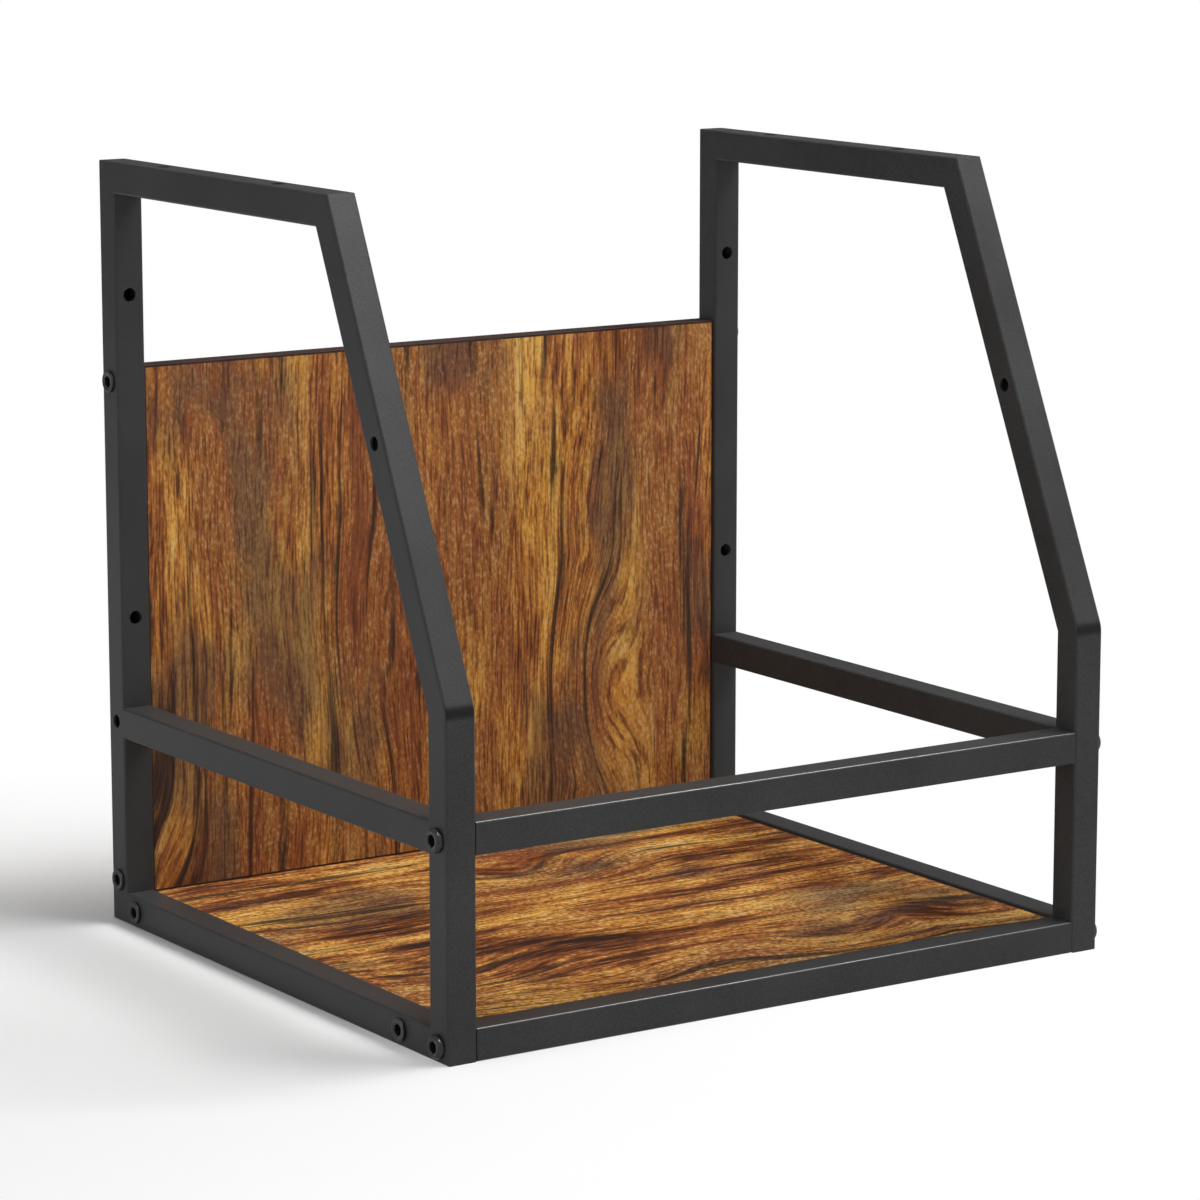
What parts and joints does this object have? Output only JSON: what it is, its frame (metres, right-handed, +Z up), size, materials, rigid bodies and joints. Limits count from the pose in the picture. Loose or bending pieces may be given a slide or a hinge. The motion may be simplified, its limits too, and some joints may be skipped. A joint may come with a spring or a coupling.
{
  "type": "record storage crate",
  "caption": "Open crate of black square steel tube with leaning front legs, a wood-grain floor board and a low back panel, for standing long-play records.",
  "frame": {"origin": "middle of the base, on the surface that the crate stands on", "axes": "+X to the right seen from the front, +Y to the back panel, +Z up"},
  "size_m": [0.3664, 0.31, 0.368],
  "materials": {
    "frame_coat": "matte charcoal-black powder coat with a fine texture",
    "board_laminate": "rustic brown wood-grain laminate, satin",
    "edge_band": "dark brown edge band",
    "black_bolt": "black oxide, satin",
    "plain_steel": "plain zinc plate"
  },
  "bodies": {
    "root": {"left_front_leg": "frame_coat", "left_top_tube": "frame_coat", "left_rear_upright": "frame_coat", "left_bottom_tube": "frame_coat", "left_mid_rail": "frame_coat", "right_front_leg": "frame_coat", "right_top_tube": "frame_coat", "right_rear_upright": "frame_coat", "right_bottom_tube": "frame_coat", "right_mid_rail": "frame_coat", "front_lower_rail": "frame_coat", "front_mid_rail": "frame_coat", "front_lower_rail_nut_plates": "plain_steel", "front_mid_rail_nut_plates": "plain_steel", "floor_board": "board_laminate", "back_panel": "board_laminate", "floor_board_edge_bands": "edge_band", "back_panel_edge_bands": "edge_band", "floor_board_inserts": "plain_steel", "back_panel_inserts": "plain_steel", "rail_bolts": "black_bolt", "floor_board_bolts": "black_bolt", "back_panel_bolts": "black_bolt"}
  },
  "joints": []
}
